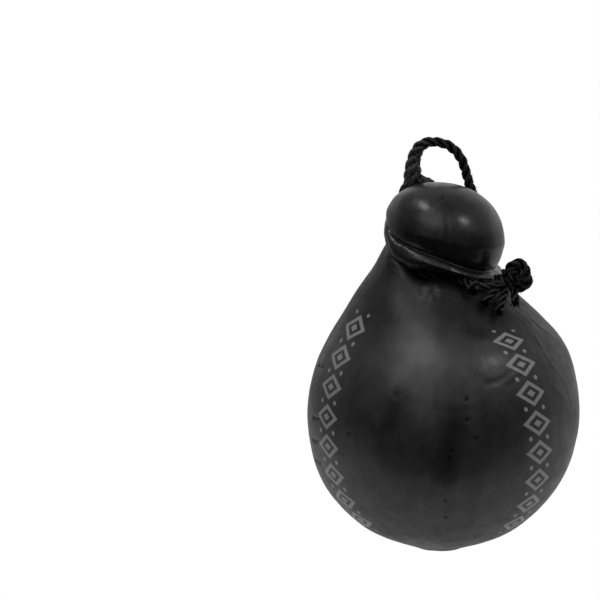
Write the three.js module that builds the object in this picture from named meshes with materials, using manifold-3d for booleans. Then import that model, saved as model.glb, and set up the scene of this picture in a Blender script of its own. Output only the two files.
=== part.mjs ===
// An aged caciocavallo: a pear-shaped cheese with a small round head, dipped whole in black wax and tied
// at the neck with a waxed rope. The rope is knotted at the side and rises into a loop to hang it by.
// Millimetres, +Z up. The belly is centred over the origin, on the ground, and the shown side faces -Y.
import * as THREE from "three";
import { mergeVertices } from "three/addons/utils/BufferGeometryUtils.js";
import Module from "manifold-3d";

// Driving dimensions of the cheese.
const BELLY_RADIUS = 77.7; // the widest radius of the body
const BELLY_HEIGHT = 76.7; // where the body is widest
const FLAT_SPOT_RADIUS = 12.5; // the spot that the cheese has settled on
const SHOULDER_RADIUS = 35.7; // where the body meets the tie
const SHOULDER_HEIGHT = 159.5;
const GROOVE_RADIUS = 27.5; // how far the tie has pulled the neck in
const GROOVE_HALF_HEIGHT = 3.7;
const GROOVE_ROUNDING = 1; // how much the groove's floor is hollowed
const LEDGE_RISE = 1.1; // from the shoulder in to the groove
const LIP_RADIUS = 33.4; // the roll of cheese that the tie squeezes up
const LIP_HEIGHT = 171;
const LIP_UNDERSIDE = [1.4, 2.2]; // how far in and below the lip its lower edge is
const CREASE_DEPTH = 2.2; // the fold between the lip and the head
const CREASE_RISE = 3.6;
const HEAD_RADIUS = 33.4;
const HEAD_HEIGHT = 185; // the middle of the head
const HEAD_TOP = 209.6;

// How the rings of the cheese lie: each is a circle, moved along X and sloping down to the right and front.
const FOOT_SHIFT = -1.9;
const SHOULDER_SHIFT = 2.1;
const GROOVE_SHIFT = 2;
const LIP_SHIFT = -1.2;
const HEAD_SHIFT = 1.4;
const SHIFT_STARTS = 75; // the height in the body where the rings begin to move towards the shoulder's shift
const TIE_SIDE_SLOPE = 0.31; // slope of the tie, seen from the front
const TIE_FRONT_SLOPE = 0.15; // slope of the tie, seen from the side
const HEAD_SLOPE_SHARE = 0.58; // the share of the tie's slope that the middle of the head has
const CROWN_SLOPE_SHARE = 0.36; // and the share that its top has
const SLOPE_STARTS = 110.4; // the height in the body where the rings begin to slope
const SLOPE_FULL = 161; // the height in the groove where they slope as much as the tie
const SLOPE_POWER = 2; // how suddenly the slope grows in between

// The groove hangs down at the front left. Degrees from the front to the right, and heights.
const SAG = 6.5;
const SAG_LEFT = [-95, -55]; // from none to full
const SAG_RIGHT = [-42, -2]; // from full to none
const SAG_FOOT = [138, 160]; // from none to full
const SAG_TOP = [163, 172]; // from full to none

// Driving dimensions of the rope, which is laid from three strands.
const ROPE_RADIUS = 2.9;
const THIN_RADIUS = 2.4; // where it is pulled tight, and at its ends
const STRANDS = 3;
const STRAND_GROOVE = 0.2; // depth between two strands, as a share of the radius
const LAY_LENGTH = 18; // the length in which a strand goes once round
const ROPE_CLEARANCE = 1; // between the rope and the floor of the groove

const CHEESE_SEGMENTS = 60;
const BODY_ROWS = 24;
const NECK_ROWS = 12;
const HEAD_ROWS = 13;
const ROPE_SIDES = 12;
const ROPE_STEP = 2.9;

// The turn round the neck: where it leaves the groove, in degrees from +X, and its way from and to the knot.
const TURN_LEAVES_FRONT = -78;
const TURN_LEAVES_BACK = -350;
const TURN_STEP = 16;
const TURN_FROM_KNOT = [[34, -24.5, 157], [25, -33, 155.3], [16.5, -36.8, 156]];
const TURN_TO_KNOT = [[37, -6, 155], [38, -14, 156.3], [36.5, -20, 157.5]];

// The knot at the side: a coil round the strands that run from the bow, through the knot, to the tails.
const KNOT = [35.5, -22.5, 157.5];
const KNOT_AXIS = [0.8, 0.1, 0.6];
const COIL_RADIUS = 4.4;
const COIL_PITCH = 5.5;
const COIL_TURNS = 1.75;
const COIL_POINTS_PER_TURN = 8;

// The three bights of the bow: the front one with a smaller one inside it, and one behind.
const FRONT_BIGHT = [
  [34.5, -24.5, 157], [36.2, -25.5, 163], [38.2, -26, 166.4], [41.6, -26, 167.6], [44.8, -25.8, 165.6],
  [45.6, -25.4, 161.6], [43.2, -25, 158.6], [39.5, -24.5, 157.4], [35.5, -23.5, 156],
];
const INNER_BIGHT = [
  [35.4, -25, 157.5], [38.7, -25.4, 162.3], [41.7, -25.6, 163.5], [42.8, -25.4, 160.9], [39.6, -24.8, 157.5],
];
const BACK_BIGHT = [
  [34, -20, 157.5], [37.2, -19.5, 161.4], [41.5, -19, 162.8], [45.4, -19, 161.4], [47.1, -19.2, 157.8],
  [45.8, -19.5, 154.2], [42, -19.8, 153.1], [38.4, -20.4, 153.8], [35.5, -21, 155.5],
];

// The short ends that lie on the shoulder.
const TAILS = [
  [[33, -25, 156.5], [29.5, -31, 153.8], [26, -37, 150.8], [23.2, -42, 147.2]],
  [[35, -24, 155.5], [33.8, -31, 151], [32.2, -37.5, 146.8], [30.6, -43, 142.3]],
  [[37.5, -22, 155.5], [39.4, -25, 151.4], [39.9, -26.6, 148.6], [39.9, -28.2, 145.4]],
];
const TUCKED_END = [[18, -36, 156], [16.8, -37.8, 155.4], [16, -39.8, 153.8]];

// The loop stands behind the head. Its left leg is doubled and parts into two feet.
const LOOP = [
  [-16.8, 31.2, 200.5], [-17.6, 27.8, 206], [-18.4, 25, 213], [-17.9, 24, 220], [-16, 23, 226.2],
  [-12.2, 22.5, 230.2], [-6.6, 22, 231.5], [0.8, 22, 230], [6, 23, 226.3], [9.8, 24, 220.8],
  [12.2, 25.5, 213.8], [14.4, 27.6, 206], [17, 31, 199], [17.8, 34.3, 191], [17.6, 35.2, 183],
  [16.6, 35, 175], [15.8, 34.6, 168.4], [14.6, 31.4, 164.4],
];
const LEFT_FOOT = [
  [-18.5, 25.2, 214], [-20, 26, 209], [-22, 27, 205.4], [-24, 28, 200.5], [-25.2, 29.2, 193],
  [-25.2, 29.8, 187], [-25, 29.4, 181], [-24, 27.2, 176.5], [-22, 24.4, 174],
];
const RIGHT_FOOT = [
  [-18, 25, 214], [-15.8, 24.8, 210.4], [-11, 25, 208.4], [-6.6, 28.8, 205.4], [-4, 34, 199.2],
  [-2.8, 36.6, 191], [-2.4, 37.4, 183], [-2.2, 37.5, 175.5], [-2, 37.2, 171.5], [-2, 34, 168],
];
const SPREAD_RADIUS = 5; // where the feet part
const DOUBLED_RADIUS = 4.6; // up the left leg
const FOOT_RADIUS = 3;
const SPREAD_UNTIL = 0.09; // shares of the loop's length
const DOUBLED_UNTIL = 0.11;
const SINGLE_FROM = 0.17;

const BLACK_WAX = new THREE.MeshStandardMaterial({ color: "#262626", roughness: 0.4, metalness: 0 });
const WAXED_ROPE = new THREE.MeshStandardMaterial({ color: "#1c1c1c", roughness: 0.6, metalness: 0 });

const { clamp, degToRad, lerp, radToDeg, smoothstep } = THREE.MathUtils;

const wasm = await Module();
wasm.setup();

function vector([x, y, z]) {
  return new THREE.Vector3(x, y, z);
}

function named(name, geometry, material) {
  const mesh = new THREE.Mesh(geometry, material);
  mesh.name = name;
  return mesh;
}

// The middle of the groove that the tie lies in, on the upright cheese.
function grooveHeight() {
  return SHOULDER_HEIGHT + LEDGE_RISE + GROOVE_HALF_HEIGHT;
}

// A smooth curve through points of radius and height, as evenly spaced points.
function smoothOutline(points, rows) {
  return new THREE.SplineCurve(points.map(([r, z]) => new THREE.Vector2(r, z))).getSpacedPoints(rows);
}

// The cheese's outline from the flat spot to the top of the head: body, tied neck and head.
function cheeseOutline() {
  const shoulder = [SHOULDER_RADIUS, SHOULDER_HEIGHT];
  const crease = [LIP_RADIUS - CREASE_DEPTH, LIP_HEIGHT + CREASE_RISE];
  const shoulderRise = SHOULDER_HEIGHT - BELLY_HEIGHT;
  const headRise = HEAD_TOP - HEAD_HEIGHT;
  const body = [
    [FLAT_SPOT_RADIUS, 0],
    [0.578 * BELLY_RADIUS, 0.176 * BELLY_HEIGHT],
    [0.89 * BELLY_RADIUS, 0.536 * BELLY_HEIGHT],
    [BELLY_RADIUS, BELLY_HEIGHT],
    [0.917 * BELLY_RADIUS, BELLY_HEIGHT + 0.422 * shoulderRise],
    [0.695 * BELLY_RADIUS, BELLY_HEIGHT + 0.75 * shoulderRise],
    shoulder,
  ];
  const neck = [
    shoulder,
    [GROOVE_RADIUS + GROOVE_ROUNDING, grooveHeight() - GROOVE_HALF_HEIGHT],
    [GROOVE_RADIUS, grooveHeight()],
    [GROOVE_RADIUS + GROOVE_ROUNDING, grooveHeight() + GROOVE_HALF_HEIGHT],
    [LIP_RADIUS - LIP_UNDERSIDE[0], LIP_HEIGHT - LIP_UNDERSIDE[1]],
    [LIP_RADIUS, LIP_HEIGHT],
    crease,
  ];
  const head = [
    crease,
    [HEAD_RADIUS, HEAD_HEIGHT],
    [0.877 * HEAD_RADIUS, HEAD_HEIGHT + 0.5 * headRise],
    [0.555 * HEAD_RADIUS, HEAD_HEIGHT + 0.87 * headRise],
    [0, HEAD_TOP],
  ];
  return [
    new THREE.Vector2(0, 0),
    ...smoothOutline(body, BODY_ROWS),
    ...smoothOutline(neck, NECK_ROWS).slice(1),
    ...smoothOutline(head, HEAD_ROWS).slice(1),
  ];
}

// How far the ring at a height of the upright cheese lies off the axis.
function shiftAt(height) {
  const foot = FOOT_SHIFT * (1 - smoothstep(height, 0, BELLY_HEIGHT));
  const shoulder = SHOULDER_SHIFT * smoothstep(height, SHIFT_STARTS, SHOULDER_HEIGHT);
  const groove = (GROOVE_SHIFT - SHOULDER_SHIFT) * smoothstep(height, SHOULDER_HEIGHT, SLOPE_FULL);
  const lip = (LIP_SHIFT - GROOVE_SHIFT) * smoothstep(height, SLOPE_FULL, LIP_HEIGHT);
  const head = (HEAD_SHIFT - LIP_SHIFT) * smoothstep(height, LIP_HEIGHT + CREASE_RISE, HEAD_HEIGHT);
  return foot + shoulder + groove + lip + head;
}

// How much of the tie's slope the ring at a height has.
function slopeShare(height) {
  const rising = clamp((height - SLOPE_STARTS) / (SLOPE_FULL - SLOPE_STARTS), 0, 1) ** SLOPE_POWER;
  const easing = lerp(1, HEAD_SLOPE_SHARE, smoothstep(height, LIP_HEIGHT, HEAD_HEIGHT));
  return rising * lerp(easing, CROWN_SLOPE_SHARE, smoothstep(height, HEAD_HEIGHT, HEAD_TOP));
}

// How far a point of the upright cheese hangs down with the groove.
function sagAt({ x, y, z }) {
  const degrees = radToDeg(Math.atan2(x, -y));
  const round = smoothstep(degrees, ...SAG_LEFT) * (1 - smoothstep(degrees, ...SAG_RIGHT));
  return SAG * round * smoothstep(z, ...SAG_FOOT) * (1 - smoothstep(z, ...SAG_TOP));
}

// Moves a point of the upright cheese to where the tied cheese has it.
function lean(point) {
  const share = slopeShare(point.z);
  const shift = shiftAt(point.z);
  const sag = sagAt(point);
  point.z += share * (TIE_FRONT_SLOPE * point.y - TIE_SIDE_SLOPE * point.x) - sag;
  point.x += shift;
  return point;
}

// The whole cheese under its wax, turned from the outline and then leant.
function cheese() {
  const geometry = new THREE.LatheGeometry(cheeseOutline(), CHEESE_SEGMENTS).rotateX(Math.PI / 2);
  const place = geometry.attributes.position;
  const point = new THREE.Vector3();
  for (let i = 0; i < place.count; i++) {
    lean(point.fromBufferAttribute(place, i));
    place.setXYZ(i, point.x, point.y, point.z);
  }
  geometry.computeVertexNormals();
  return named("cheese", geometry, BLACK_WAX);
}

// A length of laid rope along a smooth curve through points, with closed ends. A cylinder is bent along the
// curve, and its section has a lobe for each strand, turning once in each lay length.
function ropeAlong(points, radiusAt = () => ROPE_RADIUS) {
  const curve = new THREE.CatmullRomCurve3(points);
  const length = curve.getLength();
  const steps = Math.ceil(length / ROPE_STEP);
  const { normals, binormals } = curve.computeFrenetFrames(steps, false);
  const geometry = new THREE.CylinderGeometry(1, 1, steps, ROPE_SIDES, steps);
  const place = geometry.attributes.position;
  for (let i = 0; i < place.count; i++) {
    const step = Math.round(steps / 2 - place.getY(i));
    const along = step / steps;
    const angle = Math.atan2(place.getX(i), place.getZ(i));
    const turn = (2 * Math.PI * length * along) / LAY_LENGTH;
    const lobe = 1 - STRAND_GROOVE * (0.5 - 0.5 * Math.cos(STRANDS * (angle - turn)));
    const reach = Math.hypot(place.getX(i), place.getZ(i)) * lobe * radiusAt(along);
    const point = curve.getPointAt(along);
    point.addScaledVector(normals[step], reach * Math.sin(angle));
    point.addScaledVector(binormals[step], reach * Math.cos(angle));
    place.setXYZ(i, point.x, point.y, point.z);
  }
  return geometry;
}

// The turn round the neck, from the knot, round in the groove and back to the knot.
function neckTurn() {
  const radius = GROOVE_RADIUS + THIN_RADIUS + ROPE_CLEARANCE;
  const points = TURN_FROM_KNOT.map(vector);
  for (let degrees = TURN_LEAVES_FRONT; degrees >= TURN_LEAVES_BACK; degrees -= TURN_STEP) {
    const angle = degToRad(degrees);
    points.push(lean(vector([radius * Math.cos(angle), radius * Math.sin(angle), grooveHeight()])));
  }
  points.push(...TURN_TO_KNOT.map(vector));
  return ropeAlong(points, () => THIN_RADIUS);
}

// The coil that holds the knot together.
function knotCoil() {
  const axis = vector(KNOT_AXIS).normalize();
  const side = vector([0, 0, 1]).cross(axis).normalize();
  const up = axis.clone().cross(side);
  const points = [];
  for (let i = 0; i <= COIL_TURNS * COIL_POINTS_PER_TURN; i++) {
    const turn = i / COIL_POINTS_PER_TURN;
    const angle = 2 * Math.PI * turn;
    const point = vector(KNOT).addScaledVector(axis, COIL_PITCH * (turn - COIL_TURNS / 2));
    point.addScaledVector(side, COIL_RADIUS * Math.cos(angle));
    point.addScaledVector(up, COIL_RADIUS * Math.sin(angle));
    points.push(point);
  }
  return ropeAlong(points, () => THIN_RADIUS);
}

// The loop's thickness: spread at its foot, doubled up the left leg and single from the top onwards.
function loopRadius(along) {
  const doubled = lerp(SPREAD_RADIUS, DOUBLED_RADIUS, smoothstep(along, 0, SPREAD_UNTIL));
  return lerp(doubled, ROPE_RADIUS, smoothstep(along, DOUBLED_UNTIL, SINGLE_FROM));
}

// A closed solid for joining, from a geometry whose shared corners are merged.
function toSolid(geometry) {
  geometry.deleteAttribute("normal");
  geometry.deleteAttribute("uv");
  const merged = mergeVertices(geometry);
  const vertProperties = merged.attributes.position.array;
  const triVerts = Uint32Array.from(merged.index.array);
  return new wasm.Manifold(new wasm.Mesh({ numProp: 3, vertProperties, triVerts }));
}

// The rope, joined into one solid from its turn, knot, bow, tails and loop.
function rope() {
  const lengths = [
    neckTurn(),
    knotCoil(),
    ropeAlong(FRONT_BIGHT.map(vector)),
    ropeAlong(INNER_BIGHT.map(vector)),
    ropeAlong(BACK_BIGHT.map(vector)),
    ...TAILS.map((tail) => ropeAlong(tail.map(vector), () => THIN_RADIUS)),
    ropeAlong(TUCKED_END.map(vector)),
    ropeAlong(LOOP.map(vector), loopRadius),
    ropeAlong(LEFT_FOOT.map(vector), () => FOOT_RADIUS),
    ropeAlong(RIGHT_FOOT.map(vector), () => FOOT_RADIUS),
  ];
  const joined = lengths.map(toSolid).reduce((whole, next) => whole.add(next)).getMesh();
  const geometry = new THREE.BufferGeometry();
  geometry.setAttribute("position", new THREE.BufferAttribute(joined.vertProperties, joined.numProp));
  geometry.setIndex(new THREE.BufferAttribute(joined.triVerts, 1));
  geometry.computeVertexNormals();
  return named("rope", geometry, WAXED_ROPE);
}

const caciocavallo = new THREE.Group();
caciocavallo.add(cheese(), rope());

export default caciocavallo;
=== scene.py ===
# %% [markdown]
# # An aged caciocavallo in black wax
# A caciocavallo is a stretched-curd cheese, shaped by hand into a pear with a small round head. It is tied at
# the neck, hung to age and then dipped whole in wax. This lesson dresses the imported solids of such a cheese:
# the wax with its folds and marks, the printed bands on its flanks, and the rope that it hangs by.
# The solids come in as a fixed frame, in metres, and every new piece is made in the same place.

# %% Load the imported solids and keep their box
import math
import random

import bpy
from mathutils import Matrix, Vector, geometry


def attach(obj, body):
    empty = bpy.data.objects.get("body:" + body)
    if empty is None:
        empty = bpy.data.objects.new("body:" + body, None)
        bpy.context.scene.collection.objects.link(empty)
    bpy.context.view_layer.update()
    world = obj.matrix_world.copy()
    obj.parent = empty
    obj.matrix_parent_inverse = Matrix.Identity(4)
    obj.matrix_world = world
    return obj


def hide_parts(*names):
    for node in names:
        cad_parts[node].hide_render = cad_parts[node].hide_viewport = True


MM = 0.001
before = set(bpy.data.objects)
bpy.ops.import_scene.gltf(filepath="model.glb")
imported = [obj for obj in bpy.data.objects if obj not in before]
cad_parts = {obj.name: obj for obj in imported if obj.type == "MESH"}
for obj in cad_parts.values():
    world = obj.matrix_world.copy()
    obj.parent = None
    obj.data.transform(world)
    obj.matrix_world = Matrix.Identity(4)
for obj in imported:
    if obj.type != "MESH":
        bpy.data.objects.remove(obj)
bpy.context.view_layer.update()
scene = bpy.context.scene

# %% [markdown]
# ## The camera
# The cheese was photographed from a little above its middle, with a long lens, so its sides hardly converge.
# The camera could be matched by eye in the viewport. Here it stands at a measured height and distance. Its
# focal length is given in pixels of the 600-pixel picture, because an outline is fitted in pixels.

# %% Place the camera
PICTURE_WIDTH = 600
FOCAL_PIXELS = 2972
SENSOR_MM = 36
CAMERA_DISTANCE = 1.7
CAMERA_ELEVATION = math.radians(9)
LOOKED_AT = Vector((0, 0, 0.105))
MIDDLE_OF_PICTURE = Vector((-0.0823, 0.0058, 0.1417))  # the cheese stands to the right of the middle

camera_data = bpy.data.cameras.new("camera")
camera_data.sensor_width = SENSOR_MM
camera_data.lens = FOCAL_PIXELS * SENSOR_MM / PICTURE_WIDTH
camera_data.clip_end = 50
camera = bpy.data.objects.new("camera", camera_data)
scene.collection.objects.link(camera)
scene.camera = camera
camera_direction = Vector((0, -math.cos(CAMERA_ELEVATION), math.sin(CAMERA_ELEVATION)))
camera.location = LOOKED_AT + CAMERA_DISTANCE * camera_direction
camera.rotation_euler = (MIDDLE_OF_PICTURE - camera.location).to_track_quat("-Z", "Y").to_euler()
print("camera at", [round(v, 3) for v in camera.location], "lens", round(camera_data.lens, 1), "mm")

# %% [markdown]
# ## Two small helpers
# Every material and every tree of Geometry Nodes below is built from nodes. One function adds a node, gives
# it its settings and fills its sockets, either with a value or with a link from another node. A range has a
# socket for each of its ends, so a pair fills both. A second function turns colours from the sRGB hex values
# that people read into the linear values that Blender mixes.


# %% Add a node, and read a hex colour
def add(tree, kind, inputs=None, **settings):
    """Adds a node. Inputs are keyed by a socket's name, or by its place among the sockets in use. A pair
    under From or To fills the sockets for Min and Max."""
    node = tree.nodes.new(kind)
    for name, value in settings.items():
        setattr(node, name, value)
    sockets = [socket for socket in node.inputs if socket.enabled]
    values = dict(inputs or {})
    for key in {"From", "To"} & values.keys():
        values[key + " Min"], values[key + " Max"] = values.pop(key)
    for key, value in values.items():
        socket = sockets[key] if isinstance(key, int) else next(s for s in sockets if s.name == key)
        if isinstance(value, bpy.types.Node):
            value = next(s for s in value.outputs if s.enabled)
        if isinstance(value, bpy.types.NodeSocket):
            tree.links.new(value, socket)
        else:
            socket.default_value = value
    return node


def linear(hex_colour):
    """The linear colour, with an alpha of one, of an sRGB hex value such as #1a1a1a."""
    channels = [int(hex_colour[i:i + 2], 16) / 255 for i in (1, 3, 5)]
    return [c / 12.92 if c <= 0.04045 else ((c + 0.055) / 1.055) ** 2.4 for c in channels] + [1]


print("a mid grey is", [round(c, 3) for c in linear("#808080")])

# %% [markdown]
# ## The studio
# Black wax shows little colour of its own: what the eye sees is what it reflects. The cheese stands on a lit
# white sheet that leaves no shadow. The sheet ends close in front of the cheese, and further off at its left.
# The floor beyond is dark, so the belly has a dark belt between a light foot and a light shoulder. A sky of
# light, brightest behind and dimmer at the left, draws the rims, and a wide glow at the front left lights the
# belly. Two soft boxes make the highlights on the head. The small one on the belly comes from a narrow beam,
# because a lamp that also lit the head would show there as a second spot.

# %% Build the light table, the sky of light and the lamps
TABLE_CORNERS = [(-0.3, -0.122), (0.9, -0.122), (0.9, 1.3), (-0.3, 1.3)]
TABLE_GLOW = 0.47
FRONT_LIGHT = 0.027
WALL_LIGHT = 0.34
BACK_LIGHT = 0.45
KEY_LIGHT = 1.2
KEY_DIRECTION = Vector((-0.31, -0.7, 0.64)).normalized()
KEY_EDGE = math.cos(math.radians(34))
KEY_HEART = math.cos(math.radians(4))
HIGH_SHARE = 0.3  # how much of the light from behind is left high up
LEFT_SHARE = 0.75  # how much of the light of the room is left at the left
BACK_STARTS = (-0.15, 0.6)  # the Y of a direction where the light from behind sets in, and where it is full
HIGH_STARTS = (0.2, 0.75)  # the Z of a direction where that light starts to fade, and where it has faded
WALL_STARTS = (-0.02, 0.24)  # the Z of a direction where the dark floor ends, and where the wall is full
DIM_LEFT = (-0.6, -0.1)  # the X of a direction where the room is dimmest, and where it is full again

scene.view_settings.view_transform = "Standard"
table_mesh = bpy.data.meshes.new("table")
table_mesh.from_pydata([(x, y, 0) for x, y in TABLE_CORNERS], [], [range(len(TABLE_CORNERS))])
table = bpy.data.objects.new("table", table_mesh)
scene.collection.objects.link(table)
table.visible_camera = False  # in the picture it is as white as the background

opal = bpy.data.materials.new("lit_opal_acrylic")
opal.use_nodes = True
surface = opal.node_tree.nodes["Principled BSDF"].inputs
surface["Base Color"].default_value = linear("#808080")
surface["Roughness"].default_value = 0.9
surface["Emission Color"].default_value = linear("#ffffff")
surface["Emission Strength"].default_value = TABLE_GLOW
table_mesh.materials.append(opal)

sky = bpy.data.worlds.new("studio")
sky.use_nodes = True
scene.world = sky
tree = sky.node_tree
way = add(tree, "ShaderNodeTexCoord").outputs["Generated"]
direction = add(tree, "ShaderNodeSeparateXYZ", {0: way})
behind = add(tree, "ShaderNodeMapRange", {
    "Value": direction.outputs["Y"], "From": BACK_STARTS, "To Max": BACK_LIGHT,
}, interpolation_type="SMOOTHSTEP")
faded = add(tree, "ShaderNodeMath", {0: behind, 1: HIGH_SHARE}, operation="MULTIPLY")
low_behind = add(tree, "ShaderNodeMapRange", {
    "Value": direction.outputs["Z"], "From": HIGH_STARTS, "To": (behind, faded),
}, interpolation_type="SMOOTHSTEP")
wall = add(tree, "ShaderNodeMapRange", {
    "Value": direction.outputs["Z"], "From": WALL_STARTS, "To": (FRONT_LIGHT, WALL_LIGHT),
}, interpolation_type="SMOOTHSTEP")
all_round = add(tree, "ShaderNodeMath", {0: low_behind, 1: wall}, operation="ADD")
at_left = add(tree, "ShaderNodeMath", {0: all_round, 1: LEFT_SHARE}, operation="MULTIPLY")
room = add(tree, "ShaderNodeMapRange", {
    "Value": direction.outputs["X"], "From": DIM_LEFT, "To": (at_left, all_round),
}, interpolation_type="SMOOTHSTEP")
near_key = add(tree, "ShaderNodeVectorMath", {0: way, 1: KEY_DIRECTION}, operation="DOT_PRODUCT")
key = add(tree, "ShaderNodeMapRange", {
    "Value": near_key.outputs["Value"], "From": (KEY_EDGE, KEY_HEART), "To Max": KEY_LIGHT,
}, interpolation_type="SMOOTHSTEP")
light = add(tree, "ShaderNodeMath", {0: room, 1: key}, operation="ADD")
seen = add(tree, "ShaderNodeLightPath").outputs["Is Camera Ray"]
shown = add(tree, "ShaderNodeMix", {"Factor": seen, "A": light, "B": 1.0}, data_type="FLOAT")
tree.links.new(shown.outputs["Result"], tree.nodes["Background"].inputs["Strength"])
tree.nodes["Background"].inputs["Color"].default_value = linear("#ffffff")

BEAM_AIM = Vector((-0.018, -0.069, 0.114))  # on the front of the belly, well below the head
LAMPS = {
    # name: what it is aimed at, direction from there, distance, width, height, power, spread in degrees
    "top": (LOOKED_AT, (-0.36, -0.09, 0.93), 1.7, 0.8, 0.28, 5.2, 180),
    "fill": (LOOKED_AT, (0.58, -0.45, 0.68), 1.6, 0.35, 0.35, 4.8, 180),
    "beam": (BEAM_AIM, (-0.32, -0.43, 0.83), 1, 0.06, 0.06, 0.0028, 6),
}
for name, (aim, towards, distance, width, height, power, spread) in LAMPS.items():
    light_data = bpy.data.lights.new(name, "AREA")
    light_data.shape = "RECTANGLE"
    light_data.size = width
    light_data.size_y = height
    light_data.energy = power
    light_data.spread = math.radians(spread)
    lamp = bpy.data.objects.new(name, light_data)
    scene.collection.objects.link(lamp)
    lamp.location = aim + distance * Vector(towards).normalized()
    lamp.rotation_euler = Vector(towards).to_track_quat("Z", "Y").to_euler()
    lamp.visible_camera = False
print("lamps:", ", ".join(LAMPS))

# %% [markdown]
# ## From a tree of nodes to a plain mesh
# Geometry Nodes are live: the result is worked out again whenever something changes. The export needs plain
# meshes, so one function puts a tree on an empty object, sets the tree's inputs, takes the result as a mesh
# and lets the tree go. Two more start a tree with its inputs, and make the curves that the trees follow. The
# curves are guides and aren't kept.

# %% Make a guide curve, start a tree and run one
CURVE_STEPS = 48  # from one point of a smooth guide to the next


def guide_curve(name, routes, radii=None):
    """A curve object through each list of points in metres, with a radius at each point if given."""
    data = bpy.data.curves.new(name, "CURVE")
    data.dimensions = "3D"
    for number, route in enumerate(routes):
        spline = data.splines.new("POLY")
        spline.points.add(len(route) - 1)
        spline.resolution_u = CURVE_STEPS
        for i, place in enumerate(route):
            spline.points[i].co = (*place, 1)
            spline.points[i].radius = radii[number][i] if radii else 1
    guide = bpy.data.objects.new(name, data)
    scene.collection.objects.link(guide)
    return guide


def new_tree(name, sockets):
    """A tree with named inputs, each a name, a kind and a default, and one geometry output."""
    tree = bpy.data.node_groups.new(name, "GeometryNodeTree")
    tree.interface.new_socket("Geometry", in_out="OUTPUT", socket_type="NodeSocketGeometry")
    tree.interface.new_socket("Geometry", in_out="INPUT", socket_type="NodeSocketGeometry")
    for label, kind, default in sockets:
        socket = tree.interface.new_socket(label, in_out="INPUT", socket_type="NodeSocket" + kind)
        if default is not None:
            socket.default_value = default
    return tree


def plain_piece(name, tree, inputs):
    """Runs a tree and keeps what it makes as a plain mesh at the origin."""
    holder = bpy.data.objects.new(name + "_holder", bpy.data.meshes.new(name + "_holder"))
    scene.collection.objects.link(holder)
    modifier = holder.modifiers.new(tree.name, "NODES")
    modifier.node_group = tree
    for item in tree.interface.items_tree:
        if item.in_out == "INPUT" and item.name in inputs:
            modifier[item.identifier] = inputs[item.name]
    graph = bpy.context.evaluated_depsgraph_get()
    mesh = bpy.data.meshes.new_from_object(holder.evaluated_get(graph), depsgraph=graph)
    mesh.name = name
    holder.modifiers.remove(modifier)
    bpy.data.objects.remove(holder)
    piece = bpy.data.objects.new(name, mesh)
    scene.collection.objects.link(piece)
    triangles = sum(len(face.vertices) - 2 for face in mesh.polygons)
    print(name, "has", triangles, "triangles")
    return piece


print("helpers ready")

# %% [markdown]
# ## Black wax
# Cheese wax is a soft paraffin blend, put on by dipping. It sets with a satin skin: smoothest where it ran
# thick on the head and the roll under it, rougher on the body, and dullest on the shoulder below the tie. It
# carries faint smudges, a fine orange-peel and a few specks of pale dust. The two printed bands are worn grey
# ink. They are plain lozenges and dots, drawn by the material from each point's place on the band.

# %% Make the wax
BLACK = "#0b0b0b"
RUBBED_BLACK = "#141414"
DUST = "#b8b8b8"
INK = "#858585"
WAX_IOR = 1.44  # paraffin
SMUDGE_MM = 22
SCUFF_MM = 6
STREAK_ROUND_MM = 9
STREAK_DOWN_MM = 40
GRAIN_MM = 0.9  # finer in reality, drawn as coarse as the render can show
SPECK_CELL_MM = 9
SPECK_MM = 0.28
SPECKLESS = 0.55  # the share of cells that have no speck
LOZENGE_PITCH = 17 * MM
LOZENGE_HALF_WIDTH = 10.5 * MM
LOZENGE_HALF_HEIGHT = 7.4 * MM
LOZENGE_LINE = (0.82, 0.18)  # the middle of its outline and half its width, as shares of the lozenge
LOZENGE_HEART = 0.3  # the same for the filled middle
DOT_RADIUS = 1.3 * MM
DOT_ACROSS = 6.5 * MM  # from the middle of the band
INK_LEFT = (0.55, 0.95)  # the share of ink where it is worn most, and least

wax = bpy.data.materials.new("black_cheese_wax")
wax.use_nodes = True
tree = wax.node_tree
shader = tree.nodes["Principled BSDF"]
shader.inputs["IOR"].default_value = WAX_IOR
place = add(tree, "ShaderNodeTexCoord").outputs["Object"]
smudges = add(tree, "ShaderNodeTexNoise", {
    "Vector": place, "Scale": 1 / (SMUDGE_MM * MM), "Detail": 4.0, "Roughness": 0.6,
})
scuffs = add(tree, "ShaderNodeTexNoise", {
    "Vector": place, "Scale": 1 / (SCUFF_MM * MM), "Detail": 5.0, "Roughness": 0.65, "Distortion": 0.8,
})
grain = add(tree, "ShaderNodeTexNoise", {"Vector": place, "Scale": 1 / (GRAIN_MM * MM), "Detail": 3.0})
black = add(tree, "ShaderNodeMix", {
    "Factor": smudges, "A": linear(BLACK), "B": linear(RUBBED_BLACK),
}, data_type="RGBA")

# %% Draw the dust on the wax
specks = add(tree, "ShaderNodeTexVoronoi", {"Vector": place, "Scale": 1 / (SPECK_CELL_MM * MM)})
speck_size = add(tree, "ShaderNodeMapRange", {
    "Value": add(tree, "ShaderNodeSeparateColor", {0: specks.outputs["Color"]}),
    "From": (SPECKLESS, 1.0), "To": (0.0, SPECK_MM / SPECK_CELL_MM),
})
is_speck = add(tree, "ShaderNodeMath", {0: specks.outputs["Distance"], 1: speck_size}, operation="LESS_THAN")
dusted = add(tree, "ShaderNodeMix", {
    "Factor": is_speck, "A": black.outputs["Result"], "B": linear(DUST),
}, data_type="RGBA")

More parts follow.
